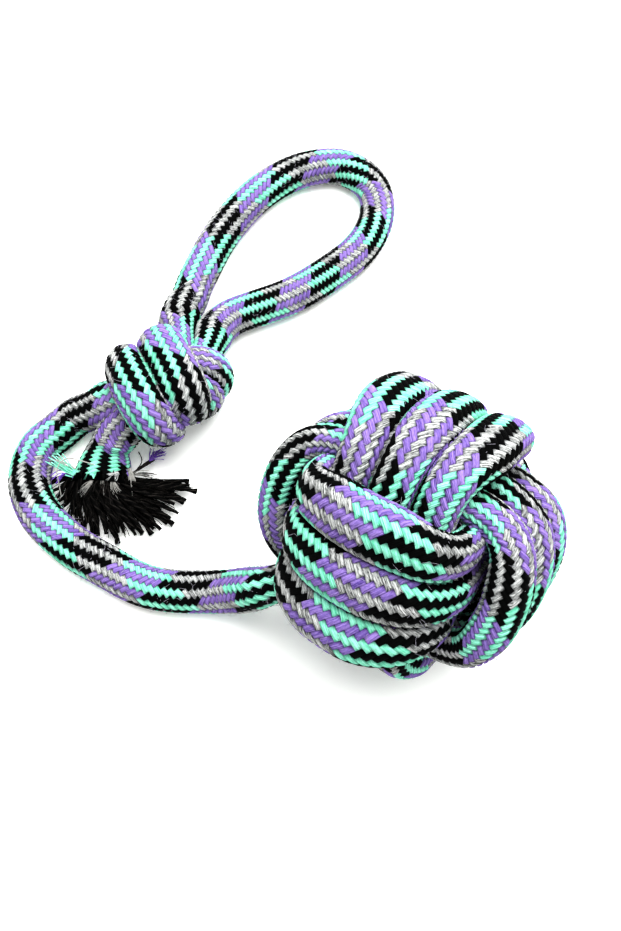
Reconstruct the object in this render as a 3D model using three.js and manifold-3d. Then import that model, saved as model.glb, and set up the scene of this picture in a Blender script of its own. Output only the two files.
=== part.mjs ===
// A rope toy for dogs, lying on a floor. One length of braided rope makes all of it: a ball wound
// over a solid core, a lead, a knot tied in the doubled rope, a loop to hold, and a cut tail whose
// core yarns fan out. Millimetres, +Z up, the floor at z = 0.

import * as THREE from 'three';
import * as BufferGeometryUtils from 'three/addons/utils/BufferGeometryUtils.js';
import Module from 'manifold-3d';

const wasm = await Module();
wasm.setup();

// Driving sizes of the rope
const ropeDiameter = 15.5;
const coverWall = 1.8;
const restCutShare = 0.1;
const faceGap = 0.4;
const straightEnd = 3.5;

// Driving sizes of the ball: its core, and how the rope lies round it. Each band is an oval whose
// ends pass outside and whose flat sides pass, squeezed, under the next band. The lifts are from
// the core's surface to the squeezed strands, and from these to the wraps.
const coreDiameter = 37;
const turnsPerBand = 3;
const wrapWidth = 14.4;
const wrapThickness = 11.2;
const wrapPitch = 15.5;
const crossingWidth = 11;
const crossingThickness = 8.4;
const crossingPitch = 12.7;
const crossingLift = 6.1;
const sideCrossingLift = 2.3;
const wrapLift = 14.2;
const sideWrapDrop = 0.7;

// Angles of a band, from the middle of its outer wrap
const risingFrom = THREE.MathUtils.degToRad(23);
const risingTo = THREE.MathUtils.degToRad(80);
const narrowFrom = THREE.MathUtils.degToRad(8);
const narrowTo = THREE.MathUtils.degToRad(43.5);
const shiftSpan = THREE.MathUtils.degToRad(96);
const hiddenEnd = THREE.MathUtils.degToRad(36);

// Where the ball lies, and the directions its three bands face
const ballPlace = new THREE.Vector2(30.7, 58.9);
const ballRight = new THREE.Vector3(0.803, -0.548, 0.233).normalize();
const ballTop = new THREE.Vector3(0.23, 0.647, 0.727).normalize();

// The knot's place, its heading, and the tightest squeeze of the rope inside it
const knotPlace = new THREE.Vector2(-49.8, 124.05);
const knotHeading = THREE.MathUtils.degToRad(46);
const settleStep = 3.2;
const settleRounds = 300;
const settleGap = 1.1;
const smoothingShare = 0.12;
const homeShare = 0.02;
const ownNeighbourShare = 2.1;
const settledHeightShare = 0.8;
const strandFillShare = 0.95;

// Routes of the two strands through the knot: along the heading, across it, height, and the share
// of the rope's diameter that is left where it is squeezed
const leadStrandRoute = [
  [-36, -21, 7.5, 1],
  [-28, -14, 13, 0.95],
  [-20, -7, 19.5, 0.75],
  [-11, -4.1, 22.8, 0.52],
  [1, -3.8, 23.4, 0.5],
  [6, -1.5, 25.2, 0.56],
  [8.6, 3.2, 25.4, 0.62],
  [9.8, 8.8, 23.4, 0.66],
  [10, 12.6, 17.5, 0.68],
  [9.4, 10.8, 10.5, 0.7],
  [7.6, 4.6, 5.6, 0.72],
  [5, -3, 5.6, 0.76],
  [3.4, -10, 8, 0.82],
  [3.6, -14, 14.5, 0.86],
  [3.6, -14, 21.5, 0.87],
  [2.4, -11, 28.5, 0.87],
  [0.2, -4.5, 32.3, 0.87],
  [-2, 3.5, 32.8, 0.87],
  [-3.8, 10.8, 29.5, 0.87],
  [-4.6, 15, 22, 0.85],
  [-5, 12.8, 14, 0.7],
  [-2.4, 8.2, 13, 0.52],
  [3, 4.2, 14.6, 0.52],
  [10.4, -0.4, 13.6, 0.58],
  [19, -5.6, 11.2, 0.8],
  [26, -9.6, 8.6, 1],
];
const tailStrandRoute = [
  [-37, 1, 7.5, 1],
  [-30, 3, 12.5, 0.95],
  [-21, 4.8, 19.5, 0.75],
  [-12, 4.1, 22.8, 0.52],
  [-3, 4.1, 23.6, 0.52],
  [1, 6.6, 25.6, 0.58],
  [2.6, 10.8, 24.4, 0.62],
  [3, 13.6, 18.5, 0.64],
  [2.6, 12.4, 11, 0.68],
  [0, 6.5, 5.6, 0.74],
  [-5, -2, 5.6, 0.78],
  [-9, -10, 8.5, 0.84],
  [-10.6, -14, 15, 0.87],
  [-10.6, -14, 22, 0.87],
  [-12.2, -10.4, 29, 0.87],
  [-14.9, -4, 32.6, 0.87],
  [-17.2, 3.2, 32.6, 0.87],
  [-19, 9.8, 29.5, 0.87],
  [-19.6, 13, 22, 0.85],
  [-18.6, 12, 14, 0.7],
  [-14, 5, 14.3, 0.52],
  [-5, -3, 14.8, 0.52],
  [4, -5.5, 14.6, 0.52],
  [10.5, -12, 13.4, 0.6],
  [16.5, -19.8, 11.8, 0.8],
  [22.5, -26, 9.2, 1],
];

// Where the lead leaves the ball: from the ball's centre, in shares of the wraps' radius
const leadRootShare = 0.7;
const leadRootPlaceShares = [
  [-0.943, -0.376, -0.187],
  [-1.18, -0.436, -0.285],
  [-1.353, -0.42, -0.529],
];

// Routes of the free stretches, on the floor but where they rise to the ball or to the knot
const leadRoute = [
  [-27.6, 43.8, 12],
  [-36.3, 44.5, 7.2],
  [-46.2, 44.8, 6.2],
  [-56.9, 46.2, 6.2],
  [-64.1, 48.9, 6.2],
  [-71, 52.6, 6.2],
  [-86.4, 61.3, 6.2],
  [-100.4, 74.2, 6.2],
  [-105.7, 87.3, 6.2],
  [-103.6, 99.7, 6.2],
  [-96.8, 106.6, 6.4],
];
const leadSplit = 4;
const loopRoute = [
  [-48.6, 173.3, 6.2],
  [-46, 180.8, 6.2],
  [-38, 199.8, 6.2],
  [-22.1, 221.9, 6.2],
  [-3.6, 234, 6.2],
  [15, 235.5, 6.2],
  [27.3, 224.8, 6.2],
  [29.1, 209.3, 6.2],
  [21.7, 192.2, 6.2],
  [7.5, 178.7, 6.2],
  [-8.3, 167.8, 6.2],
  [-18.4, 163.3, 6.2],
  [-25.8, 160.4, 6.2],
];
const leftNeckMiddle = [-50.6, 164.5, 7];
const rightNeckMiddle = [-33.4, 156.4, 6.8];

// The tail: its cover spreads to the cut, and the yarns fan out to these tips
const tailExit = 3;
const cutEnd = [-79.2, 88.8, 6.2];
const cutBefore = [-77.4, 93, 6.4];
const cutWidth = 19;
const cutThickness = 12.4;
const boreDepth = 9;
const yarnRootDiameter = 4.4;
const yarnTipDiameter = 4;
const rootReach = 4;
const yarnSpreadShare = 1.45;
const yarnBendShare = 0.25;
const yarnTips = [
  [-95, 84.5, 5.5],
  [-90, 77.5, 3.4],
  [-85, 73, 3],
  [-80, 69, 2.6],
  [-75, 66, 2.2],
  [-70, 64.3, 2],
  [-64.5, 65.8, 2.4],
  [-58.5, 67.5, 2.2],
  [-51.1, 71.1, 2.2],
  [-49, 76.5, 3.4],
  [-43, 84.3, 3.8],
  [-47.5, 88.3, 6.5],
  [-56, 91.5, 9],
];

// Facets
const stepsPerTurn = 30;
const sectionSides = 8;
const cordSides = 10;
const leadSteps = 10;
const leadRootSteps = 3;
const loopSteps = 26;
const neckSteps = 4;
const coverSteps = 5;
const yarnSteps = 4;
const yarnSides = 6;
const coreSegments = 20;
const sectionPower = 2.4;
const roomShare = 2;

const ropeRadius = ropeDiameter / 2;
const crossingRadius = coreDiameter / 2 + crossingLift;
const sideCrossingRadius = coreDiameter / 2 + sideCrossingLift;
const wrapRadius = crossingRadius + wrapLift;
const sideWrapRadius = wrapRadius - sideWrapDrop;
const up = new THREE.Vector3(0, 0, 1);

const colours = {
  frontWraps: 0x57ab8c,
  topWraps: 0x8a60c4,
  sideWraps: 0x3a3742,
  lead: 0x6f5f8c,
  leadStrand: 0x7a6aa8,
  tailStrand: 0x4d9d80,
  loop: 0x8f8b95,
  core: 0x2c2b29,
  yarn: 0x0c0c0e,
};

function fabric(colour) {
  return new THREE.MeshStandardMaterial({ color: colour, roughness: 0.9, metalness: 0 });
}

function smoothStep(value) {
  const s = THREE.MathUtils.clamp(value, 0, 1);
  return s * s * (3 - 2 * s);
}

function toVectors(list) {
  return list.map((entry) => new THREE.Vector3(entry[0], entry[1], entry[2]));
}

function merged(geometry) {
  const bare = geometry.clone();
  bare.deleteAttribute('normal');
  bare.deleteAttribute('uv');
  return BufferGeometryUtils.mergeVertices(bare, 1e-4);
}

function toSolid(geometry) {
  const bare = merged(geometry);
  return new wasm.Manifold(new wasm.Mesh({
    numProp: 3,
    vertProperties: new Float32Array(bare.attributes.position.array),
    triVerts: new Uint32Array(bare.index.array),
  }));
}

function toGeometry(solid) {
  const mesh = solid.getMesh();
  const geometry = new THREE.BufferGeometry();
  geometry.setAttribute('position', new THREE.BufferAttribute(new Float32Array(mesh.vertProperties), 3));
  geometry.setIndex(new THREE.BufferAttribute(new Uint32Array(mesh.triVerts), 1));
  geometry.computeVertexNormals();
  return geometry;
}

// What lies below the floor is cut off flat, as the rope flattens where it rests
function aboveFloor(geometry) {
  geometry.computeBoundingBox();
  const box = geometry.boundingBox;
  if (box.min.z >= 0) return geometry;
  const size = box.getSize(new THREE.Vector3()).multiplyScalar(roomShare);
  const centre = box.getCenter(new THREE.Vector3());
  const room = new THREE.BoxGeometry(size.x, size.y, size.z);
  room.translate(centre.x, centre.y, size.z / 2);
  return toGeometry(toSolid(geometry).intersect(toSolid(room)));
}

function tangentsOf(points) {
  return points.map((point, i) => {
    const before = points[Math.max(i - 1, 0)];
    const after = points[Math.min(i + 1, points.length - 1)];
    return after.clone().sub(before).normalize();
  });
}

// Side directions that all face one way
function facingSides(tangents, direction) {
  return tangents.map((tangent) => (
    direction.clone().addScaledVector(tangent, -direction.dot(tangent)).normalize()
  ));
}

// Side directions carried along the path without a twist
function carriedSides(tangents) {
  const first = new THREE.Vector3().crossVectors(up, tangents[0]);
  if (first.length() < 0.1) first.set(1, 0, 0);
  const side = first.normalize();
  return tangents.map((tangent) => {
    side.addScaledVector(tangent, -side.dot(tangent)).normalize();
    return side.clone();
  });
}

// A closed tube whose rounded section changes along it: a half width across the side direction and
// a half thickness square to it
function squeezedTube(points, tangents, sides, sections, sideCount, power) {
  const places = [];
  points.forEach((point, i) => {
    const normal = tangents[i].clone().cross(sides[i]);
    for (let k = 0; k < sideCount; k += 1) {
      const angle = (2 * Math.PI * (k + 0.5)) / sideCount;
      const c = Math.cos(angle);
      const s = Math.sin(angle);
      const across = Math.sign(c) * Math.abs(c) ** (2 / power) * sections[i].halfWidth;
      const outward = Math.sign(s) * Math.abs(s) ** (2 / power) * sections[i].halfThickness;
      const place = point.clone().addScaledVector(sides[i], across).addScaledVector(normal, outward);
      places.push(place.x, place.y, place.z);
    }
  });
  const triangles = [];
  for (let i = 0; i < points.length - 1; i += 1) {
    for (let k = 0; k < sideCount; k += 1) {
      const a = i * sideCount + k;
      const b = i * sideCount + ((k + 1) % sideCount);
      triangles.push(a, b, b + sideCount, a, b + sideCount, a + sideCount);
    }
  }
  const last = (points.length - 1) * sideCount;
  for (let k = 1; k < sideCount - 1; k += 1) {
    triangles.push(0, k + 1, k);
    triangles.push(last, last + k, last + k + 1);
  }
  const geometry = new THREE.BufferGeometry();
  geometry.setAttribute('position', new THREE.Float32BufferAttribute(places, 3));
  geometry.setIndex(triangles);
  geometry.computeVertexNormals();
  return geometry;
}

function alongCurve(points, steps) {
  return new THREE.CatmullRomCurve3(points, false, 'centripetal').getSpacedPoints(steps);
}

// A free stretch of rope along its route, round but for the flat it rests on
function freeRope(points, steps) {
  const outline = new THREE.Shape(Array.from({ length: cordSides }, (_, k) => {
    const angle = (2 * Math.PI * (k + 0.5)) / cordSides;
    return new THREE.Vector2(ropeRadius * Math.cos(angle), ropeRadius * Math.sin(angle));
  }));
  const route = new THREE.CatmullRomCurve3(points, false, 'centripetal');
  const tube = new THREE.ExtrudeGeometry(outline, { steps, extrudePath: route, bevelEnabled: false });
  return aboveFloor(tube);
}

// Where two stretches meet face to face: a place on the route and the way the route runs there
function faceAt(place, before, after) {
  return { place, tangent: after.clone().sub(before).normalize() };
}

function turnedRound(face) {
  return { place: face.place, tangent: face.tangent.clone().negate() };
}

// The route of a stretch from one face to another, straight for a little way at both
function stretchBetween(start, middlePoints, end) {
  return [
    start.place.clone().addScaledVector(start.tangent, faceGap / 2),
    start.place.clone().addScaledVector(start.tangent, straightEnd),
    ...middlePoints,
    end.place.clone().addScaledVector(end.tangent, -straightEnd),
    end.place.clone().addScaledVector(end.tangent, -faceGap / 2),
  ];
}

// One band of the ball, in the ball's own directions: first along its long axis, then along its
// flat sides, then across its strands
function bandRoute(first, second, third) {
  const points = [];
  const sections = [];
  const halfTurn = Math.PI;
  const start = -Math.PI / 2 + hiddenEnd;
  const end = -Math.PI / 2 + 2 * Math.PI * turnsPerBand - hiddenEnd;
  const steps = Math.round(((end - start) / (2 * Math.PI)) * stepsPerTurn);
  for (let i = 0; i <= steps; i += 1) {
    const angle = start + ((end - start) * i) / steps;
    const fromUnder = angle + Math.PI / 2;
    const fold = fromUnder - halfTurn * Math.floor(fromUnder / halfTurn);
    const away = Math.abs(fold - Math.PI / 2);
    const outer = smoothStep((risingTo - away) / (risingTo - risingFrom));
    const wide = smoothStep((narrowTo - away) / (narrowTo - narrowFrom));
    const turn = fromUnder / (2 * Math.PI);
    const nearest = Math.floor(turn + 0.5);
    const shift = smoothStep(((turn - nearest) * 2 * Math.PI) / shiftSpan + 0.5);
    const strand = THREE.MathUtils.clamp(nearest - 2 + shift, -1, 1);
    const beside = Math.abs(strand);
    const under = THREE.MathUtils.lerp(crossingRadius, sideCrossingRadius, beside);
    const over = THREE.MathUtils.lerp(wrapRadius, sideWrapRadius, beside);
    const radius = THREE.MathUtils.lerp(under, over, outer);
    const pitch = THREE.MathUtils.lerp(crossingPitch, wrapPitch, wide);
    points.push(new THREE.Vector3()
      .addScaledVector(first, radius * Math.cos(angle))
      .addScaledVector(second, radius * Math.sin(angle))
      .addScaledVector(third, strand * pitch));
    sections.push({
      halfWidth: THREE.MathUtils.lerp(crossingWidth, wrapWidth, wide) / 2,
      halfThickness: THREE.MathUtils.lerp(crossingThickness, wrapThickness, wide) / 2,
    });
  }
  return { points, sections, across: third };
}

// The least gap that a band leaves to itself, taken on the section outlines along the line
// between two centres
function leastGapToItself({ points, sections, across }) {
  const tangents = tangentsOf(points);
  const sides = facingSides(tangents, across);
  const conjugate = sectionPower / (sectionPower - 1);
  const reach = (i, direction) => {
    const normal = tangents[i].clone().cross(sides[i]);
    const a = sections[i].halfWidth * Math.abs(direction.dot(sides[i]));
    const b = sections[i].halfThickness * Math.abs(direction.dot(normal));
    return (a ** conjugate + b ** conjugate) ** (1 / conjugate);
  };
  let least = Infinity;
  const away = Math.round(stepsPerTurn / 2);
  for (let i = 0; i < points.length; i += 1) {
    for (let j = i + away; j < points.length; j += 1) {
      const line = points[j].clone().sub(points[i]);
      const distance = line.length();
      line.normalize();
      least = Math.min(least, distance - reach(i, line) - reach(j, line));
    }
  }
  return least;
}

// The two strands of the knot settle: a stretch that comes too near another is pushed away, and
// each strand is smoothed and drawn back towards its hand-set route
function sampled(route) {
  const curve = new THREE.CatmullRomCurve3(toVectors(route), false, 'centripetal');
  const intervals = route.length - 1;
  const fine = 40 * intervals;
  const places = [curve.getPoint(0)];
  const lengths = [0];
  for (let i = 1; i <= fine; i += 1) {
    places.push(curve.getPoint(i / fine));
    lengths.push(lengths[i - 1] + places[i].distanceTo(places[i - 1]));
  }
  const count = Math.round(lengths[fine] / settleStep);
  const samples = [];
  let j = 0;
  for (let k = 0; k <= count; k += 1) {
    const along = (lengths[fine] * k) / count;
    while (j < fine - 1 && lengths[j + 1] < along) j += 1;
    const part = (along - lengths[j]) / (lengths[j + 1] - lengths[j]);
    const at = ((j + part) / fine) * intervals;
    const entry = Math.min(Math.floor(at), intervals - 1);
    const place = places[j].clone().lerp(places[j + 1], part);
    samples.push({
      place,
      home: place.clone(),
      share: THREE.MathUtils.lerp(route[entry][3], route[entry + 1][3], at - entry),
      index: k,
      fixed: k < 3 || k > count - 3,
    });
  }
  return samples;
}

function pushApart(samples) {
  for (let i = 0; i < samples.length; i += 1) {
    for (let j = i + 1; j < samples.length; j += 1) {
      const a = samples[i];
      const b = samples[j];
      const sameStrand = a.strand === b.strand;
      if (sameStrand && (b.index - a.index) * settleStep < ownNeighbourShare * ropeDiameter) continue;
      const line = b.place.clone().sub(a.place);
      const distance = line.length();
      const needed = ropeRadius * (a.share + b.share) + settleGap;
      if (distance >= needed) continue;
      line.multiplyScalar((needed - distance) / distance / 4);
      if (!a.fixed) a.place.sub(line);
      if (!b.fixed) b.place.add(line);
    }
  }
  samples.forEach((sample) => {
    const resting = ropeRadius * settledHeightShare * Math.max(sample.share, settledHeightShare);
    sample.place.z = Math.max(sample.place.z, resting);
  });
}

function settledStrands(routes) {
  const strands = routes.map(sampled);
  strands.forEach((samples, strand) => samples.forEach((sample) => { sample.strand = strand; }));
  const all = strands.flat();
  for (let round = 0; round < settleRounds; round += 1) {
    strands.forEach((samples) => {
      const moves = samples.map((sample, i) => {
        if (sample.fixed) return new THREE.Vector3();
        const middle = samples[i - 1].place.clone().add(samples[i + 1].place).multiplyScalar(0.5);
        const move = middle.sub(sample.place).multiplyScalar(smoothingShare);
        return move.addScaledVector(sample.home.clone().sub(sample.place), homeShare);
      });
      samples.forEach((sample, i) => sample.place.add(moves[i]));
    });
    pushApart(all);
    pushApart(all);
  }
  for (let round = 0; round < 40; round += 1) pushApart(all);
  return strands;
}

const heading = new THREE.Vector3(Math.cos(knotHeading), Math.sin(knotHeading), 0);
const sideways = new THREE.Vector3(Math.sin(knotHeading), -Math.cos(knotHeading), 0);

function knotToWorld(place) {
  return new THREE.Vector3(knotPlace.x, knotPlace.y, place.z)
    .addScaledVector(heading, place.x)
    .addScaledVector(sideways, place.y);
}

function knotStrand(samples, from, startCut) {
  const points = samples.map((sample) => knotToWorld(sample.place));
  const tangents = tangentsOf(points);
  points[from].addScaledVector(tangents[from], startCut);
  const sections = samples.map(({ share }) => {
    const half = ropeRadius * share * strandFillShare;
    return { halfWidth: half, halfThickness: half };
  });
  const kept = [points, tangents, carriedSides(tangents), sections].map((list) => list.slice(from));
  return aboveFloor(squeezedTube(...kept, sectionSides, 2));
}

const toy = new THREE.Group();
toy.name = 'rope_dog_toy';

function addPiece(name, geometry, colour) {
  const piece = new THREE.Mesh(geometry, fabric(colour));
  piece.name = name;
  toy.add(piece);
  return piece;
}

// The ball rests on its lowest wrap
const ballFront = new THREE.Vector3().crossVectors(ballRight, ballTop);
const bandNames = ['fist_front_wraps', 'fist_top_wraps', 'fist_side_wraps'];
const bandColours = [colours.frontWraps, colours.topWraps, colours.sideWraps];
const bandRoutes = [
  bandRoute(ballFront, ballRight, ballTop),
  bandRoute(ballTop, ballFront, ballRight),
  bandRoute(ballRight, ballTop, ballFront),
];
const bandTubes = bandRoutes.map(({ points, sections, across }) => {
  const tangents = tangentsOf(points);
  const sides = facingSides(tangents, across);
  return squeezedTube(points, tangents, sides, sections, sectionSides, sectionPower);
});
const lowest = Math.min(...bandTubes.map((tube) => {
  tube.computeBoundingBox();
  return tube.boundingBox.min.z;
}));
const ballCentre = new THREE.Vector3(ballPlace.x, ballPlace.y, -lowest - ropeDiameter * restCutShare);
bandTubes.forEach((tube, i) => {
  tube.translate(ballCentre.x, ballCentre.y, ballCentre.z);
  addPiece(bandNames[i], aboveFloor(tube), bandColours[i]);
  console.log(`${bandNames[i]}: least gap to itself ${leastGapToItself(bandRoutes[i]).toFixed(2)} mm`);
});
const coreBall = new THREE.SphereGeometry(coreDiameter / 2, coreSegments, coreSegments / 2);
coreBall.rotateX(Math.PI / 2);
coreBall.translate(ballCentre.x, ballCentre.y, ballCentre.z);
addPiece('core_ball', coreBall, colours.core);

// The knot
const [leadSamples, tailSamples] = settledStrands([leadStrandRoute, tailStrandRoute]);
const leadStrand = leadSamples.map((sample) => knotToWorld(sample.place));
const tailStrand = tailSamples.map((sample) => knotToWorld(sample.place));
addPiece('knot_lead_strand', knotStrand(leadSamples, 0, faceGap / 2), colours.leadStrand);
addPiece('knot_tail_strand', knotStrand(tailSamples, tailExit, faceGap / 2), colours.tailStrand);

// The lead, in two stretches. It comes out of the pit between three wraps, where it is squeezed.
const rootPoints = toVectors(leadRootPlaceShares).map((place) => (
  place.multiplyScalar(wrapRadius).add(ballCentre)
));
const leadPoints = [...rootPoints, ...toVectors(leadRoute)];
const splitIndex = rootPoints.length + leadSplit;
const ballEnd = faceAt(leadPoints[0], leadPoints[0], leadPoints[1]);
const leadMiddle = faceAt(leadPoints[splitIndex], leadPoints[splitIndex - 1], leadPoints[splitIndex + 1]);
const leadEnd = faceAt(leadStrand[0], leadStrand[0], leadStrand[1]);
const ballHalf = stretchBetween(ballEnd, leadPoints.slice(1, splitIndex), leadMiddle);
const knotHalf = stretchBetween(leadMiddle, leadPoints.slice(splitIndex + 1), leadEnd);
const leadRoot = alongCurve(ballHalf, leadSteps);
const leadTangents = tangentsOf(leadRoot);
leadTangents[leadSteps].copy(leadMiddle.tangent);
const leadSections = leadRoot.map((_, i) => {
  const half = ropeRadius * THREE.MathUtils.lerp(leadRootShare, 1, smoothStep(i / leadRootSteps));
  return { halfWidth: half, halfThickness: half };
});
const leadSides = carriedSides(leadTangents);
const leadTube = squeezedTube(leadRoot, leadTangents, leadSides, leadSections, cordSides, 2);
addPiece('lead_ball_half', aboveFloor(leadTube), colours.lead);
addPiece('lead_knot_half', freeRope(knotHalf, leadSteps), colours.lead);

// The loop and the two necks that join it to the knot
const loopPoints = toVectors(loopRoute);
const leftMiddle = new THREE.Vector3(...leftNeckMiddle);
const rightMiddle = new THREE.Vector3(...rightNeckMiddle);
const leftRoot = faceAt(tailStrand.at(-1), tailStrand.at(-2), tailStrand.at(-1));
const rightRoot = faceAt(leadStrand.at(-1), leadStrand.at(-2), leadStrand.at(-1));
const loopStart = faceAt(loopPoints[0], leftMiddle, loopPoints[1]);
const loopEnd = faceAt(loopPoints.at(-1), loopPoints.at(-2), rightMiddle);
const leftNeck = stretchBetween(leftRoot, [leftMiddle], loopStart);
const rightNeck = stretchBetween(rightRoot, [rightMiddle], turnedRound(loopEnd));
const loop = stretchBetween(loopStart, loopPoints.slice(1, -1), loopEnd);
addPiece('handle_neck_left', freeRope(leftNeck, neckSteps), colours.loop);
addPiece('handle_neck_right', freeRope(rightNeck, neckSteps), colours.loop);
addPiece('handle_loop', freeRope(loop, loopSteps), colours.loop);

// The tail's cover is a sleeve, open at the cut end
const coverEnd = faceAt(tailStrand[tailExit], tailStrand[tailExit + 1], tailStrand[tailExit - 1]);
const cutCentre = new THREE.Vector3(...cutEnd);
const cutFace = faceAt(cutCentre, new THREE.Vector3(...cutBefore), cutCentre);
const coverRoute = alongCurve(stretchBetween(coverEnd, [], cutFace), coverSteps);
const coverSections = coverRoute.map((_, i) => {
  const spread = smoothStep(i / coverSteps);
  const narrow = ropeRadius * tailSamples[tailExit].share * strandFillShare;
  return {
    halfWidth: THREE.MathUtils.lerp(narrow, cutWidth / 2, spread),
    halfThickness: THREE.MathUtils.lerp(narrow, cutThickness / 2, spread),
  };
});
const coverTangents = tangentsOf(coverRoute);
const coverSides = coverTangents.map((tangent) => (
  new THREE.Vector3().crossVectors(up, tangent).normalize()
));
const coverOutside = squeezedTube(coverRoute, coverTangents, coverSides, coverSections, cordSides, 2);
const cutTangent = cutFace.tangent;
const cutSide = new THREE.Vector3().crossVectors(up, cutTangent).normalize();

function sleeveFilling(from, to, wall) {
  const points = [from, to].map((along) => cutCentre.clone().addScaledVector(cutTangent, along));
  const section = { halfWidth: cutWidth / 2 - wall, halfThickness: cutThickness / 2 - wall };
  const tangents = [cutTangent, cutTangent];
  return squeezedTube(points, tangents, [cutSide, cutSide], [section, section], cordSides, 2);
}

const bore = toSolid(sleeveFilling(-boreDepth, boreDepth, coverWall));
const cover = toGeometry(toSolid(aboveFloor(coverOutside)).subtract(bore));
addPiece('tail_cover', cover, colours.tailStrand);

// The core yarns leave the sleeve side by side and fan out over the floor
const rootWidth = cutWidth / 2 - coverWall - faceGap - yarnRootDiameter / 2;
const root = sleeveFilling(-boreDepth + faceGap, rootReach, coverWall + faceGap);
const yarns = yarnTips.map((tip, i) => {
  const end = new THREE.Vector3(...tip);
  const across = THREE.MathUtils.lerp(-rootWidth, rootWidth, i / (yarnTips.length - 1));
  const start = cutCentre.clone().addScaledVector(cutSide, across)
    .addScaledVector(cutTangent, rootReach - faceGap);
  const bend = cutCentre.clone().addScaledVector(cutSide, yarnSpreadShare * across)
    .addScaledVector(cutTangent, end.distanceTo(cutCentre) * yarnBendShare);
  const route = alongCurve([start, bend, end], yarnSteps);
  const tangents = tangentsOf(route);
  const sections = route.map((_, k) => {
    const half = THREE.MathUtils.lerp(yarnRootDiameter, yarnTipDiameter, k / yarnSteps) / 2;
    return { halfWidth: half, halfThickness: half };
  });
  return toSolid(squeezedTube(route, tangents, carriedSides(tangents), sections, yarnSides, 2));
});
const fan = wasm.Manifold.union([toSolid(root), ...yarns]);
addPiece('tail_core_yarns', aboveFloor(toGeometry(fan)), colours.yarn);

// The origin is under the middle of the whole toy
const bounds = new THREE.Box3().setFromObject(toy);
const middle = bounds.getCenter(new THREE.Vector3());
toy.children.forEach((piece) => piece.geometry.translate(-middle.x, -middle.y, -bounds.min.z));
const overall = bounds.getSize(new THREE.Vector3());
console.log('size, mm', overall.toArray().map((v) => v.toFixed(1)).join(' x '));
console.log('shift, mm', (-middle.x).toFixed(3), (-middle.y).toFixed(3));
console.log('height of the ball\'s centre, mm', ballCentre.z.toFixed(3));

export default toy;
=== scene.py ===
import math
import bpy
import bmesh
import numpy as np
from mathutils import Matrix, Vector


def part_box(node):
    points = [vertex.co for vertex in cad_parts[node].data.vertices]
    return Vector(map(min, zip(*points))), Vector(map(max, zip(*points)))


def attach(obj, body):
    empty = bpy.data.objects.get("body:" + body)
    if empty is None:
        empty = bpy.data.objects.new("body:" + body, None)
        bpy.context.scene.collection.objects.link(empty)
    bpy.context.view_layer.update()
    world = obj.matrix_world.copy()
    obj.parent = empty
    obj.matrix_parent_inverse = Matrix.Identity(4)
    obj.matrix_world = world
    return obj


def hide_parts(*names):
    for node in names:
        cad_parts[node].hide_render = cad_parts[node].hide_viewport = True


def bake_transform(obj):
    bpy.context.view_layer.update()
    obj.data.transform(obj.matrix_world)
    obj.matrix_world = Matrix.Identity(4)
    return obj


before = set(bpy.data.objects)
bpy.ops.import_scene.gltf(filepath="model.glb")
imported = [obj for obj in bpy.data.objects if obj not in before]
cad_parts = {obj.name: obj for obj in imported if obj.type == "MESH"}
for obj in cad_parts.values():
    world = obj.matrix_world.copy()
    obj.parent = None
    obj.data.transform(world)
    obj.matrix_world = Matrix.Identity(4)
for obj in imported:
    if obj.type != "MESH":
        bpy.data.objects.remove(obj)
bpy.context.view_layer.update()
scene = bpy.context.scene
mm = 0.001

# the rope as it lies free, and its braid: sixteen ribs round, eight leaning each way
rope = {
    "diameter": 15.5,
    "ribs": 16,
    "columnsPerRib": 5,
    "rowsPerStitch": 4,
    "pillow": 0.5,  # mm from the groove to the crown of a stitch
    "groove": 0.6,  # share of the pillow that lies below the rope's mean surface
    "inset": 0.3,  # mm that the cover lies inside the rope's stated size
    "tooth": 0.25,  # how far a stitch's corners reach past its rib, in ribs
    "crownAcross": 4,  # how flat a stitch's crown is across its rib
    "crownAlong": 3,  # and along it
    "colourTurn": 16,  # stitches after which the carriers' colours repeat
    "smoothing": 14,  # mm over which the braid's lay changes
    "margin": 20,  # mm that the lay is known past both ends of a path
    "raggedSeed": 3,
}
ropeRadius = rope["diameter"] / 2
floorGap = 0.02  # mm that every yarn keeps off the floor


def smoothStep(value):
    s = np.clip(value, 0, 1)
    return s * s * (3 - 2 * s)


def unit(v):
    return v / np.linalg.norm(v, axis=-1, keepdims=True)


def mixed(a, b, share):
    return a + (b - a) * share


def tangentsOf(points):
    return unit(np.gradient(points, axis=0))


# across the line, as near to a direction as that allows
def facingSides(tangents, direction):
    return unit(direction - (tangents @ direction)[:, None] * tangents)


# across the line, and carried along it without a twist
def carriedSides(tangents, first):
    side = np.array(first, float)
    sides = []
    for tangent in tangents:
        side = side - (side @ tangent) * tangent
        side = side / np.linalg.norm(side)
        sides.append(side)
    return np.array(sides)


def alongOf(points):
    return np.concatenate([[0], np.cumsum(np.linalg.norm(np.diff(points, axis=0), axis=1))])


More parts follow.
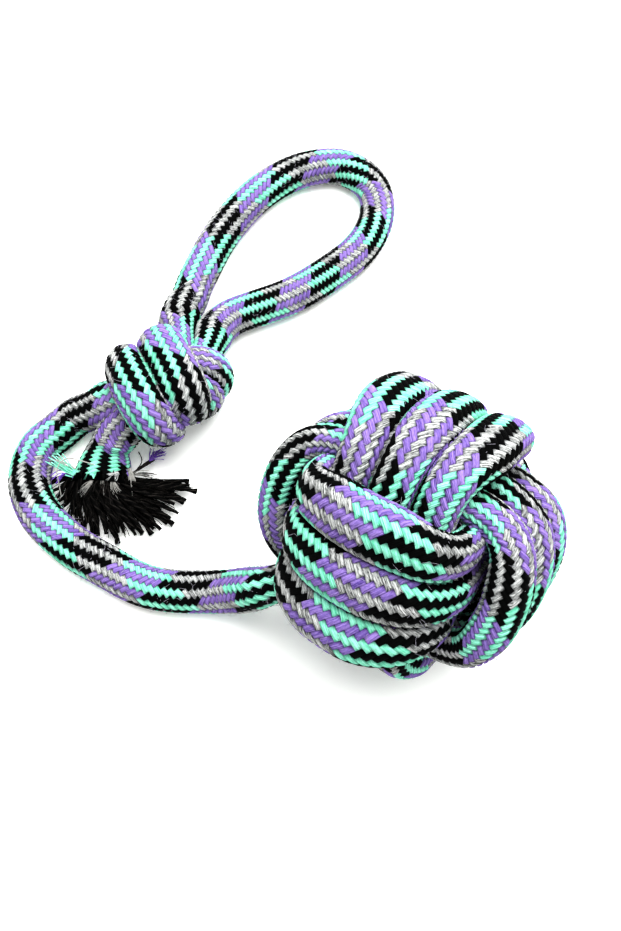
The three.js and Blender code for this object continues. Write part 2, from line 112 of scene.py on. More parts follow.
# a smooth curve through a list of points, sampled evenly; a fourth column runs along with the places
def curveThrough(points, step, perSpan=24):
    p = np.array(points, float)
    ends = np.concatenate([[2 * p[0] - p[1]], p, [2 * p[-1] - p[-2]]])
    knots = np.concatenate([[0], np.cumsum(np.linalg.norm(np.diff(ends[:, :3], axis=0), axis=1) ** 0.5)])
    fine = []
    for i in range(1, len(ends) - 2):
        t0, t1, t2, t3 = knots[i - 1:i + 3]
        t = np.linspace(t1, t2, perSpan, endpoint=i == len(ends) - 3)[:, None]
        p0, p1, p2, p3 = ends[i - 1:i + 3]
        a1 = (t1 - t) / (t1 - t0) * p0 + (t - t0) / (t1 - t0) * p1
        a2 = (t2 - t) / (t2 - t1) * p1 + (t - t1) / (t2 - t1) * p2
        a3 = (t3 - t) / (t3 - t2) * p2 + (t - t2) / (t3 - t2) * p3
        b1 = (t2 - t) / (t2 - t0) * a1 + (t - t0) / (t2 - t0) * a2
        b2 = (t3 - t) / (t3 - t1) * a2 + (t - t1) / (t3 - t1) * a3
        fine.append((t2 - t) / (t2 - t1) * b1 + (t - t1) / (t2 - t1) * b2)
    fine = np.concatenate(fine)
    along = alongOf(fine[:, :3])
    even = np.linspace(0, along[-1], max(2, round(along[-1] / step) + 1))
    return np.stack([np.interp(even, along, fine[:, k]) for k in range(fine.shape[1])], 1)


class RopePath:
    # a centre line in mm, with the rope's half width and its half thickness along an outward direction;
    # power squares the section, and crowd draws the ribs together on its outward side
    def __init__(self, points, sides, halfWidth, halfThickness, outward=None, power=2.0, crowd=None):
        tangents = tangentsOf(points)
        self.points = points
        self.sides = sides
        self.normals = unit(np.cross(tangents, sides))
        self.outward = self.normals if outward is None else outward
        self.level = unit(np.cross(self.outward, tangents))
        self.halfWidth = halfWidth
        self.halfThickness = halfThickness
        self.power = power
        self.crowd = np.zeros(len(points)) if crowd is None else crowd
        self.along = alongOf(points)

    def at(self, s, values):
        if values.ndim == 1:
            return np.interp(s, self.along, values)
        return np.stack([np.interp(s, self.along, values[:, k]) for k in range(3)], -1)

    def surface(self, s, angle, height):
        spoke = np.cos(angle)[..., None] * self.at(s, self.sides)
        spoke = spoke + np.sin(angle)[..., None] * self.at(s, self.normals)
        level, outward = self.at(s, self.level), self.at(s, self.outward)
        turned = np.arctan2((spoke * level).sum(-1), (spoke * outward).sum(-1))
        turned = turned - self.at(s, self.crowd) * np.sin(turned)
        a, b = np.sin(turned), np.cos(turned)
        share = (np.abs(a) ** self.power + np.abs(b) ** self.power) ** (1 / self.power)
        a = a / share * (self.at(s, self.halfWidth) + height)
        b = b / share * (self.at(s, self.halfThickness) + height)
        return self.at(s, self.points) + a[..., None] * level + b[..., None] * outward


class Lay:
    # how the braid runs along a path: mm, the stitches counted up to there, and the ribs it has turned
    def __init__(self, table, length):
        place, stitches, turned = np.array(table, float).T
        self.s = np.arange(-rope["margin"], length + rope["margin"], 1.0)
        self.stitches = self.eased(place, stitches)
        self.turned = self.eased(place, turned)

    def eased(self, place, values):
        first = (values[1] - values[0]) / (place[1] - place[0])
        last = (values[-1] - values[-2]) / (place[-1] - place[-2])
        whole = np.interp(self.s, place, values)
        whole = np.where(self.s < place[0], values[0] + (self.s - place[0]) * first, whole)
        whole = np.where(self.s > place[-1], values[-1] + (self.s - place[-1]) * last, whole)
        reach = np.arange(-rope["smoothing"], rope["smoothing"] + 1)
        window = np.cos(reach / rope["smoothing"] * np.pi / 2) ** 2
        padded = np.pad(whole, rope["smoothing"], mode="reflect", reflect_type="odd")
        return np.convolve(padded, window / window.sum(), mode="valid")

    def place(self, stitches):
        return np.interp(stitches, self.stitches, self.s)

    def count(self, s):
        return float(np.interp(s, self.s, self.stitches))

    def turn(self, s):
        return np.interp(s, self.s, self.turned)


class Sock:
    # a shader socket, so that shader maths reads as plain expressions
    def __init__(self, nodes, socket):
        self.nodes = nodes
        self.socket = socket

    def join(self, operation, *values):
        return self.nodes.make("ShaderNodeMath", {"operation": operation}, dict(enumerate(values)))

    def __add__(self, other):
        return self.join("ADD", self, other)

    def __sub__(self, other):
        return self.join("SUBTRACT", self, other)

    def __mul__(self, other):
        return self.join("MULTIPLY", self, other)

    def __pow__(self, other):
        return self.join("POWER", self, other)

    __radd__ = __add__


class Nodes:
    # a material's nodes
    def __init__(self, name):
        self.material = bpy.data.materials.new(name)
        self.material.use_nodes = True
        self.tree = self.material.node_tree
        self.shader = self.tree.nodes["Principled BSDF"]

    def make(self, kind, settings, inputs, output=0):
        node = self.tree.nodes.new(kind)
        for key, value in settings.items():
            setattr(node, key, value)
        for key, value in inputs.items():
            self.put(node.inputs[key], value)
        return Sock(self, node.outputs[output])

    def put(self, socket, value):
        if isinstance(value, Sock):
            self.tree.links.new(value.socket, socket)
        else:
            socket.default_value = value

    def mix(self, factor, a, b, blend="MIX"):
        settings = {"data_type": "RGBA", "blend_type": blend, "clamp_factor": True}
        return self.make("ShaderNodeMix", settings, {0: factor, 6: a, 7: b}, output=2)

    def noise(self, kind, vector, **inputs):
        return self.make(kind, {"noise_dimensions": "2D"}, {"Vector": vector, **inputs})

    def flat(self, x, y):
        return self.make("ShaderNodeCombineXYZ", {}, {0: x, 1: y})

    def uvMap(self, name):
        uv = self.make("ShaderNodeUVMap", {"uv_map": name}, {})
        return (self.make("ShaderNodeSeparateXYZ", {}, {0: uv}, output=k) for k in range(2))

    def bump(self, height, strength, deep):
        inputs = {"Height": height, "Strength": strength, "Distance": deep * mm}
        return self.make("ShaderNodeBump", {}, inputs)

    def set(self, **values):
        for key, value in values.items():
            self.put(self.shader.inputs[key.replace("_", " ")], value)


# a colour in screen values, as the shaders take it
def linear(*colour):
    shares = [c / 255 for c in colour]
    return tuple(((c + 0.055) / 1.055) ** 2.4 if c > 0.04045 else c / 12.92 for c in shares) + (1.0,)


yarnColours = {  # light and deep shade of each carrier's yarn, in the order of the carriers' numbers
    "black": ((10, 11, 11), (1, 1, 1)),
    "purple": ((176, 150, 216), (66, 44, 126)),
    "mint": ((188, 255, 236), (40, 178, 132)),
    "grey": ((212, 214, 212), (72, 74, 73)),
}
weave = {
    "threads": 4.0,  # side by side in a yarn
    "shadesPerThread": 2.0,
    "fibres": (3.6, 17.0),  # noise cells across a rib and along a stitch
    "shade": {"thread": 0.4, "fibre": 0.9, "stitch": 0.2, "darker": 0.25},
    "fleck": {"thread": 0.5, "fibre": 1.5, "middle": 1.0, "contrast": 1.5},  # of the grey yarn
    # painted shade in the creases between stitches: how sharply it gathers at the rib edges and the stitch
    # ends, how strong it is there, and the colour it multiplies into the yarn
    "paintedCreaseShade": {"power": 6.0, "across": 0.7, "beside": 0.55, "colour": (78, 82, 92)},
    "relief": {"thread": 0.5, "fibre": 0.9, "strength": 0.6, "deep": 0.14},  # deep in mm
    "roughness": (0.7, 0.16),
    "specular": 0.03,
}


# u counts the ribs round the rope and v the stitches along it
def braidMaterial():
    n = Nodes("braidedYarn")
    u, v = n.uvMap("braid")
    carrier = n.make("ShaderNodeAttribute", {"attribute_name": "carrier"}, {}, output=2)
    rib = u.join("FLOOR", u)
    back = rib.join("MODULO", rib + 0.01, 2.0)
    back = back.join("GREATER_THAN", back, 0.5)
    across = u.join("ABSOLUTE", u - rib - 0.5) * 2.0
    shifted = v + back * 0.5
    within = shifted - v.join("FLOOR", shifted)
    beside = v.join("ABSOLUTE", within - 0.5) * 2.0
    # the threads lie side by side in each yarn, and run along the stitch
    threads = v * weave["threads"]
    cell = n.flat(rib, threads.join("FLOOR", threads * weave["shadesPerThread"]))
    perThread = n.noise("ShaderNodeTexWhiteNoise", cell)
    otherCell = n.flat(rib + 7.0, v.join("FLOOR", shifted))
    perStitch = n.noise("ShaderNodeTexWhiteNoise", otherCell)
    stretched = n.flat(u * weave["fibres"][0], v * weave["fibres"][1])
    fibre = n.noise("ShaderNodeTexNoise", stretched, Scale=1.0, Detail=3.0)
    tone, fleckTone, paintedCreaseShade, relief = (weave[key] for key in ("shade", "fleck", "paintedCreaseShade", "relief"))
    shade = perThread * tone["thread"] + fibre * tone["fibre"] + perStitch * tone["stitch"] - tone["darker"]
    fleck = perThread * fleckTone["thread"] + fibre * fleckTone["fibre"] - fleckTone["middle"]
    fleck = fleck * fleckTone["contrast"] + 0.5
    # painted shade: the yarn's colour is darkened towards each rib's edges and each stitch's ends, in the
    # creases between stitches
    groove = across ** paintedCreaseShade["power"] * paintedCreaseShade["across"] + beside ** paintedCreaseShade["power"] * paintedCreaseShade["beside"]
    colour = None
    for i, (name, shades) in enumerate(yarnColours.items()):
        light, deep = (linear(*c) for c in shades)
        own = n.mix(fleck if name == "grey" else shade, deep, light)
        if colour is None:
            colour = own
        else:
            isThis = carrier.join("GREATER_THAN", carrier, i - 0.5)
            colour = n.mix(isThis, colour, own)
    # the yarn's colour under the painted crease shade
    paintedShadeColour = n.mix(1.0, colour, linear(*paintedCreaseShade["colour"]), "MULTIPLY")
    wave = v.join("SINE", threads * (2 * math.pi) - math.pi / 2)
    height = wave * relief["thread"] + fibre * relief["fibre"]
    rough, rougher = weave["roughness"]
    n.set(Base_Color=n.mix(groove, colour, paintedShadeColour), Roughness=rough + shade * rougher,
          Normal=n.bump(height, relief["strength"], relief["deep"]), Specular_IOR_Level=weave["specular"])
    return n.material


plied = {
    "fibres": (4.0, 0.7),  # noise cells round a yarn and along a turn of its plies
    "shade": {"fibre": 1.7, "ply": 0.2},
    "relief": {"strength": 0.5, "deep": 0.12},  # deep in mm
    "roughness": (0.6, 0.3),
    "specular": 0.04,
}


# a yarn or thread of one colour, with its plies wound round it
def plyMaterial(name, light, deep, plies, darker):
    n = Nodes(name)
    u, v = n.uvMap("ply")
    turned = u * float(plies) + v
    wave = turned.join("SINE", turned * (2 * math.pi))
    stretched = n.flat(turned * plied["fibres"][0], v * plied["fibres"][1])
    fibre = n.noise("ShaderNodeTexNoise", stretched, Scale=2.0, Detail=3.0)
    shade = fibre * plied["shade"]["fibre"] + wave * plied["shade"]["ply"] - darker
    rough, rougher = plied["roughness"]
    n.set(Base_Color=n.mix(shade, linear(*deep), linear(*light)), Roughness=rough + fibre * rougher,
          Normal=n.bump(wave + fibre, **plied["relief"]), Specular_IOR_Level=plied["specular"])
    return n.material


# a flat sheet of quads, and the column and row of each of its points
def sheet(name, columns, rows):
    bm = bmesh.new()
    bmesh.ops.create_grid(bm, x_segments=columns, y_segments=rows, size=1)
    mesh = bpy.data.meshes.new(name)
    bm.to_mesh(mesh)
    bm.free()
    flat = np.empty(len(mesh.vertices) * 3)
    mesh.vertices.foreach_get("co", flat)
    flat = flat.reshape(-1, 3)
    corner = np.empty(len(mesh.loops), int)
    mesh.loops.foreach_get("vertex_index", corner)
    column = np.rint((flat[:, 0] + 1) / 2 * columns).astype(int)
    row = np.rint((flat[:, 1] + 1) / 2 * rows).astype(int)
    return mesh, column, row, corner


# the sheet's two long edges are sewn into a tube, and its ends filled
def closed(mesh, column, columns):
    bm = bmesh.new()
    bm.from_mesh(mesh)
    bm.verts.ensure_lookup_table()
    seam = [bm.verts[i] for i in np.flatnonzero((column == 0) | (column == columns))]
    bmesh.ops.remove_doubles(bm, verts=seam, dist=1e-6)
    bmesh.ops.holes_fill(bm, edges=[e for e in bm.edges if e.is_boundary], sides=0)
    bmesh.ops.recalc_face_normals(bm, faces=bm.faces)
    bm.to_mesh(mesh)
    bm.free()
    mesh.polygons.foreach_set("use_smooth", [True] * len(mesh.polygons))


def placed(name, mesh, material):
    mesh.materials.append(material)
    piece = bpy.data.objects.new(name, mesh)
    scene.collection.objects.link(piece)
    return piece


# one stretch of braided rope, from one row of stitches to another along its path
def braidedPiece(name, path, lay, first, last, material, ragged=0):
    perRib, perStitch = rope["columnsPerRib"], rope["rowsPerStitch"]
    columns = rope["ribs"] * perRib
    mesh, column, row, corner = sheet(name, columns, (last - first) * perStitch)
    row = row + first * perStitch
    rib, inRib = np.divmod(column, perRib)
    leansBack = rib % 2
    x = inRib / perRib - 0.5
    y = ((row + leansBack * perStitch // 2) % perStitch) / perStitch - 0.5
    crown = (1 - np.abs(2 * x) ** rope["crownAcross"]) ** 0.5
    crown = crown * (1 - np.abs(2 * y) ** rope["crownAlong"]) ** 0.5
    climb = np.where(leansBack == 1, x, -x)
    tooth = np.where(inRib == 0, -np.sin(2 * np.pi * row / perStitch), 0) * rope["tooth"]
    s = lay.place(row / perStitch + climb)
    cut = np.random.default_rng(rope["raggedSeed"]).normal(0, ragged, columns)[column % columns]
    s = np.clip(s + cut * (row >= last * perStitch - 1), 0, path.along[-1])
    angle = (column / perRib + tooth - lay.turn(s)) / rope["ribs"] * 2 * np.pi
    place = path.surface(s, angle, (crown - rope["groove"]) * rope["pillow"])
    place[:, 2] = np.maximum(place[:, 2], floorGap)
    mesh.vertices.foreach_set("co", ((place + shift) * mm).ravel())
    uv = mesh.uv_layers.new(name="braid")
    uv.data.foreach_set("uv", np.stack([column[corner] / perRib, row[corner] / perStitch], 1).ravel())
    faceRib = column[corner].reshape(-1, 4).min(1) // perRib
    faceRow = row[corner].reshape(-1, 4).min(1)
    back = faceRib % 2
    number = (faceRow + back * perStitch // 2) // perStitch
    turn = rope["colourTurn"]
    ahead = (number + faceRib + 1) % turn < turn // 2
    behind = (number - faceRib - 1) % turn < turn // 2
    carrier = np.where(back == 0, np.where(ahead, 0, 1), np.where(behind, 2, 3))
    mesh.attributes.new("carrier", "FLOAT", "FACE").data.foreach_set("value", carrier.astype(np.float32))
    closed(mesh, column, columns)
    return placed(name, mesh, material)


braidedYarn = braidMaterial()

# the ball: three bands that pass over and under each other, three strands in each
ball = {
    "place": (30.7, 58.9, 42.043),
    "right": (0.803, -0.548, 0.233),
    "top": (0.23, 0.647, 0.727),
    "turns": 3,
    # mm: radius is the middle strand's, side that of the two beside it
    "wrap": {"radius": 38.8, "side": 38.1, "pitch": 15.5, "halfWidth": 8.0, "halfThickness": 6.2},
    "crossing": {"radius": 24.6, "side": 20.8, "pitch": 12.7, "halfWidth": 6.0, "halfThickness": 4.6},
    # degrees from the middle of a wrap
    "rising": (23, 80),  # where a strand goes down to the crossing
    "narrow": (8, 43.5),  # where it narrows for it
    "shiftSpan": 96,  # over which it moves on to the next strand's place
    "hiddenEnd": 36,
    "power": 2.4,
    "samples": 1400,
}
layoutBall = np.array(ball["place"])
lowCorner, highCorner = (np.array(c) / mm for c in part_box("core_ball"))
shift = (lowCorner + highCorner) / 2 - layoutBall
ballRight = unit(np.array(ball["right"]))
ballTop = unit(np.array(ball["top"]))
ballFront = np.cross(ballRight, ballTop)
print("layout shift", shift.round(3))


def bandPath(first, second, third, fullness):
    wrap, crossing = ball["wrap"], ball["crossing"]
    start = math.radians(-90 + ball["hiddenEnd"])
    end = math.radians(-90 + 360 * ball["turns"] - ball["hiddenEnd"])
    angle = np.linspace(start, end, ball["samples"])
    away = np.degrees(np.abs(np.mod(angle + np.pi / 2, np.pi) - np.pi / 2))
    outer, wide = (smoothStep((far - away) / (far - near)) for near, far in (ball["rising"], ball["narrow"]))
    turn = (angle + np.pi / 2) / (2 * np.pi)
    nearest = np.floor(turn + 0.5)
    across = smoothStep((turn - nearest) * 360 / ball["shiftSpan"] + 0.5)
    strand = np.clip(nearest - 2 + across, -1, 1)
    beside = np.abs(strand)
    under = mixed(crossing["radius"], crossing["side"], beside)
    radius = mixed(under, mixed(wrap["radius"], wrap["side"], beside), outer)
    pitch = mixed(crossing["pitch"], wrap["pitch"], wide)
    points = (radius * np.cos(angle))[:, None] * first + (radius * np.sin(angle))[:, None] * second
    points = points + (strand * pitch * fullness)[:, None] * third + layoutBall
    sides = facingSides(tangentsOf(points), third)
    halfWidth = mixed(crossing["halfWidth"], wrap["halfWidth"], wide) * fullness
    halfThickness = mixed(crossing["halfThickness"], wrap["halfThickness"], wide)
    return RopePath(points, sides, halfWidth, halfThickness, power=ball["power"])


# mm along a band, the stitches up to there and the ribs turned
bandLays = {
    "front": [(22.5, 0.2, 1.9), (62.5, 15.2, 1.9), (240, 82.6, -2.4), (288, 102.2, -2.4), (464, 168.4, -4.75),
              (508, 186.9, -4.75)],
    "top": [(38, 1.7, -2.9), (72, 15.3, -2.9), (258, 86, -3.75), (293, 99.4, -3.75), (480, 173, 1.4),
            (515, 188.8, 1.4)],
    "side": [(53, 1.3, 6), (69, 7.7, 6), (260, 78.6, 5.6), (292, 91.4, 5.6), (455, 160.4, 3.9),
             (508, 184.8, 3.9), (556, 202.7, 1.4), (601, 221.1, 1.4)],
}
bands = [  # each band's piece, node, slot, directions, fullness and lay
    ("frontWraps", "fist_front_wraps", "front_wraps",
     (ballFront, ballRight, ballTop), 1.08, bandLays["front"]),
    ("topWraps", "fist_top_wraps", "top_wraps",
     (ballTop, ballFront, ballRight), 1.03, bandLays["top"]),
    ("sideWraps", "fist_side_wraps", "side_wraps",
     (ballRight, ballTop, ballFront), 1.02, bandLays["side"]),
]
bandPaths = []
for name, node, slotName, directions, fullness, table in bands:
    path = bandPath(*directions, fullness)
    lay = Lay(table, path.along[-1])
    first, last = math.ceil(lay.count(1)), math.floor(lay.count(path.along[-1] - 1))
    piece = braidedPiece(name, path, lay, first, last, braidedYarn)
    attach(piece, "ball")
    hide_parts(node)
    bandPaths.append(path)
print("ball wound")

# the core ball shows only as darkness between the wraps
rubber = {
    "colour": (46, 44, 42),
    "grain": 900.0,
    "roughness": (0.6, 0.2),
    "relief": {"strength": 0.3, "deep": 0.1},
}
core = Nodes("coreRubber")
grain = core.make("ShaderNodeTexNoise", {}, {"Scale": rubber["grain"], "Detail": 2.0})
rough, rougher = rubber["roughness"]
core.set(Base_Color=linear(*rubber["colour"]), Roughness=rough + grain * rougher,
         Normal=core.bump(grain, **rubber["relief"]))
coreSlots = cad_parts["core_ball"].data.materials
coreSlots.clear()
coreSlots.append(core.material)

# the knot: the doubled rope passes through its own wrap
knot = {
    "place": (-49.8, 124.05),
    "middle": 17,  # mm over the floor
    "heading": 46,  # degrees, towards the loop
    "step": 3.2,  # mm between the points that settle
    "rounds": 300,
    "lastRounds": 40,
    "held": 3,  # points at each end that stay
    "gap": -1.2,  # mm between strands, which press on each other
    "slack": 0.5,  # mm more within which points are looked at
    "yields": 4,  # a pass takes away one part of this many of an overlap
    "smoothing": 0.12,
    "home": 0.02,  # how strongly a point is drawn back to its route
    "ownNeighbour": 2.1,  # diameters along a strand within which it doesn't press on itself
    "settledHeight": 0.8,  # of the strand's radius, over the floor
    "widening": 2.2,  # mm added across the strands, as they press on each other
    "thickening": 0.7,
    "crowding": 0.2,  # the ribs draw together on the side that shows
    "seated": (-1.6, -0.9),  # mm that the strand nearer the tail sits off where it settles
    "seatedFrom": (12, 8),  # mm over the floor, and over how many more the shift grows
    "seatedShare": (0.7, 0.12),  # the same for the share of its width
    "neck": (6, 18, 47),  # mm: height of the loop's roots, and where their bend starts and ends
    "pressed": (0.9, 0.1),  # shares of the width: where a strand is in the knot, and how soon it is free
    "from": 120,  # mm along the rope, because the lead's root in the ball is narrow too
}
# mm along the knot, across it and up, and the share of the rope's width
leadStrandRoute = [
    (-36, -21, 7.5, 1), (-28, -14, 13, 0.95), (-20, -7, 19.5, 0.75), (-11, -4.1, 22.8, 0.52),
    (1, -3.8, 23.4, 0.5), (6, -1.5, 25.2, 0.56), (8.6, 3.2, 25.4, 0.62), (9.8, 8.8, 23.4, 0.66),
    (10, 12.6, 17.5, 0.68), (9.4, 10.8, 10.5, 0.7), (7.6, 4.6, 5.6, 0.72), (5, -3, 5.6, 0.76),
    (3.4, -10, 8, 0.82), (3.6, -14, 14.5, 0.86), (3.6, -14, 21.5, 0.87), (2.4, -11, 28.5, 0.87),
    (0.2, -4.5, 32.3, 0.87), (-2, 3.5, 32.8, 0.87), (-3.8, 10.8, 29.5, 0.87), (-4.6, 15, 22, 0.85),
    (-5, 12.8, 14, 0.7), (-2.4, 8.2, 13, 0.52), (3, 4.2, 14.6, 0.52), (10.4, -0.4, 13.6, 0.58),
    (19, -5.6, 11.2, 0.8), (26, -9.6, 8.6, 1),
]
tailStrandRoute = [
    (-37, 1, 7.5, 1), (-30, 3, 12.5, 0.95), (-21, 4.8, 19.5, 0.75), (-12, 4.1, 22.8, 0.52),
    (-3, 4.1, 23.6, 0.52), (1, 6.6, 25.6, 0.58), (2.6, 10.8, 24.4, 0.62), (3, 13.6, 18.5, 0.64),
    (2.6, 12.4, 11, 0.68), (0, 6.5, 5.6, 0.74), (-5, -2, 5.6, 0.78), (-9, -10, 8.5, 0.84),
    (-10.6, -14, 15, 0.87), (-10.6, -14, 22, 0.87), (-12.2, -10.4, 29, 0.87), (-14.9, -4, 32.6, 0.87),
    (-17.2, 3.2, 32.6, 0.87), (-19, 9.8, 29.5, 0.87), (-19.6, 13, 22, 0.85), (-18.6, 12, 14, 0.7),
    (-14, 5, 14.3, 0.52), (-5, -3, 14.8, 0.52), (4, -5.5, 14.6, 0.52), (10.5, -12, 13.4, 0.6),
    (16.5, -19.8, 11.8, 0.8), (22.5, -26, 9.2, 1),
]


def pushApart(place, share, index, strand, fixed):
    step, reach = knot["step"], knot["ownNeighbour"] * rope["diameter"]
    needed = ropeRadius * (share[:, None] + share[None, :]) + knot["gap"]
    distance = np.linalg.norm(place[:, None] - place[None], axis=2)
    own = (strand[:, None] == strand[None]) & (np.abs(index[:, None] - index[None]) * step < reach)
    for i, j in np.argwhere(np.triu((distance < needed + knot["slack"]) & ~own, 1)):
        line = place[j] - place[i]
        length = math.sqrt(line @ line)
        if length < needed[i, j]:
            line = line * ((needed[i, j] - length) / length / knot["yields"])
            place[i] -= line * (not fixed[i])
            place[j] += line * (not fixed[j])
    resting = ropeRadius * knot["settledHeight"] * np.maximum(share, knot["settledHeight"])
    place[:, 2] = np.maximum(place[:, 2], resting)


def settledStrands(*routes):
    lists = [curveThrough(route, knot["step"]) for route in routes]
    place = np.concatenate([even[:, :3] for even in lists])
    share = np.concatenate([even[:, 3] for even in lists])
    index = np.concatenate([np.arange(len(even)) for even in lists])
    strand = np.concatenate([np.full(len(even), k) for k, even in enumerate(lists)])
    count = np.concatenate([np.full(len(even), len(even)) for even in lists])
    fixed = (index < knot["held"]) | (index > count - knot["held"] - 1)
    home = place.copy()
    free = np.flatnonzero(~fixed)
    for _ in range(knot["rounds"]):
        middle = (place[free - 1] + place[free + 1]) / 2
        move = (middle - place[free]) * knot["smoothing"] + (home[free] - place[free]) * knot["home"]
        place[free] += move
        for _ in range(2):
            pushApart(place, share, index, strand, fixed)
    for _ in range(knot["lastRounds"]):
        pushApart(place, share, index, strand, fixed)
    return [np.column_stack([place[strand == k], share[strand == k]]) for k in range(len(routes))]


heading = math.radians(knot["heading"])
forward = np.array([math.cos(heading), math.sin(heading), 0])
sideways = np.array([math.sin(heading), -math.cos(heading), 0])


def knotToWorld(strand):
    base = np.array([*knot["place"], 0])
    place = base + strand[:, :1] * forward + strand[:, 1:2] * sideways
    place[:, 2] += strand[:, 2]
    return np.column_stack([place, strand[:, 3]])


leadStrand, tailStrand = (knotToWorld(s) for s in settledStrands(leadStrandRoute, tailStrandRoute))
(low, rise), (thin, swell) = knot["seatedFrom"], knot["seatedShare"]
seat = smoothStep((tailStrand[:, 2] - low) / rise) * smoothStep((tailStrand[:, 3] - thin) / swell)
tailStrand[:, :3] += seat[:, None] * (knot["seated"][0] * forward + knot["seated"][1] * sideways)
print("knot settled")

# the free stretches, as points on the floor plan and heights
leadRoute = [
    (-4.6, 44.3, 34.8), (-13.8, 42, 31), (-20.5, 42.6, 21.5), (-27.6, 43.8, 12), (-36.3, 44.5, 7.2),
    (-46.2, 44.8, 6.2), (-56.9, 46.2, 6.2), (-64.1, 48.9, 6.2), (-71, 52.6, 6.2), (-86.4, 61.3, 6.2),
    (-100.4, 74.2, 6.2), (-105.7, 87.3, 6.2), (-103.6, 99.7, 6.2), (-96.8, 106.6, 6.4),
]
loopRoute = [
    (-33.4, 156.4, 6.8), (-25.8, 160.4, 6.2), (-18.4, 163.3, 6.2), (-8.3, 167.8, 6.2), (7.5, 178.7, 6.2),
    (21.7, 192.2, 6.2), (29.1, 209.3, 6.2), (27.3, 224.8, 6.2), (15, 235.5, 6.2), (-3.6, 234, 6.2),
    (-22.1, 221.9, 6.2), (-38, 199.8, 6.2), (-46, 180.8, 6.2), (-48.6, 173.3, 6.2), (-50.6, 164.5, 7),
]
tailRoute = [
    (-67.8, 106.2, 15.5), (-73, 103.6, 11), (-76.2, 99.3, 8), (-77.7, 93, 6.6), (-78.4, 84.8, 6.3),
]
cutEnd = tailRoute[-1]

# the tail's cover spreads to a ragged cut
tail = {
    "spreadOver": 20,  # mm
    "cutHalfWidth": 11.2,
    "cutHalfThickness": 6.1,
    "ragged": 1.6,  # mm by which the cut's edge varies
    "wall": 1.6,
    "routed": 7,  # points of the knot's strand that tailRoute stands for
    "clear": (45, 20),  # mm before the cut by which the ribs no longer crowd, and over how many they ease
}


def withShare(route, shares=None):
    shares = [1] * len(route) if shares is None else shares
    return np.column_stack([np.array(route, float), shares])


# the whole rope from the ball to its cut end, so that the braid runs on from piece to piece
leadShares = [0.7, 0.85, 1] + [1] * (len(leadRoute) - 3)
tailShares = [0.75, 0.85, 0.95, 1, 1]
whole = np.concatenate([withShare(leadRoute, leadShares), leadStrand, withShare(loopRoute),
                        tailStrand[::-1][:-tail["routed"]], withShare(tailRoute, tailShares)])
line = curveThrough(whole, 1.0)
for _ in range(6):  # evens out the bends between the routes
    line[1:-1] = (line[:-2] + 2 * line[1:-1] + line[2:]) / 4
points, tangents = line[:, :3], tangentsOf(line[:, :3])
squeezed = 1 - smoothStep((line[:, 3] - knot["pressed"][0]) / knot["pressed"][1])
squeezed[:knot["from"]] = 0
knotCentre = np.array([*knot["place"], knot["middle"]])
fromKnot = points - knotCentre
fromKnot = unit(fromKnot - (fromKnot * tangents).sum(1)[:, None] * tangents)
outward = facingSides(tangents, np.array([0, 0, 1.0]))
outward = unit(outward + (fromKnot - outward) * squeezed[:, None])
halfWidth = ropeRadius * line[:, 3] - rope["inset"] + knot["widening"] * squeezed
halfThickness = ropeRadius * line[:, 3] - rope["inset"] + knot["thickening"] * squeezed
spread = smoothStep((np.arange(len(line)) - len(line) + 1 + tail["spreadOver"]) / tail["spreadOver"])
halfWidth = mixed(halfWidth, tail["cutHalfWidth"], spread)
halfThickness = mixed(halfThickness, tail["cutHalfThickness"], spread)
inKnot = smoothStep((len(line) - tail["clear"][0] - np.arange(len(line))) / tail["clear"][1])
wholeRope = RopePath(points, carriedSides(tangents, (0, 0, 1)), halfWidth, halfThickness, outward,
                     crowd=knot["crowding"] * squeezed * inKnot)
print("whole rope", round(wholeRope.along[-1], 1), "mm")

# mm along the rope, the stitches up to there and the ribs turned
ropeLay = Lay([
    (10, 4, 1.3), (29.9, 10.6, 1.2), (49.8, 16.8, 1.8), (69.8, 25, 1.5), (88.8, 32.6, 2.1),
    (108.8, 40.2, 2.5), (127.7, 48, 3.2), (145.6, 56.4, 3.4), (164.5, 62.9, 3.4), (184.4, 69.4, 3.9),
    (223, 86.6, 7.1), (271, 114.6, 6.6), (311, 130.6, 6.3), (361.4, 156.1, 6.4), (385.4, 168, 6.5),
    (410.4, 181.9, 6.4), (435.3, 194.8, 6.6), (459.3, 206.1, 8.6), (481.2, 213.9, 10.9), (503.1, 223.1, 11.3),
    (526.1, 231.5, 12), (550.1, 240.5, 11.8), (575.1, 249.3, 11.5), (600, 257, 12), (655, 281.7, 11.6),
    (690, 296.4, 12.2), (760, 323.5, 15), (782, 330.8, 16.6), (790.2, 334, 16.6), (805.4, 342.5, 16.6),
], wholeRope.along[-1])


def alongAt(point):
    away = np.linalg.norm(wholeRope.points - np.array(point[:3]), axis=1)
    return wholeRope.along[int(np.argmin(away))]


def rowAt(s):
    return round(ropeLay.count(s))


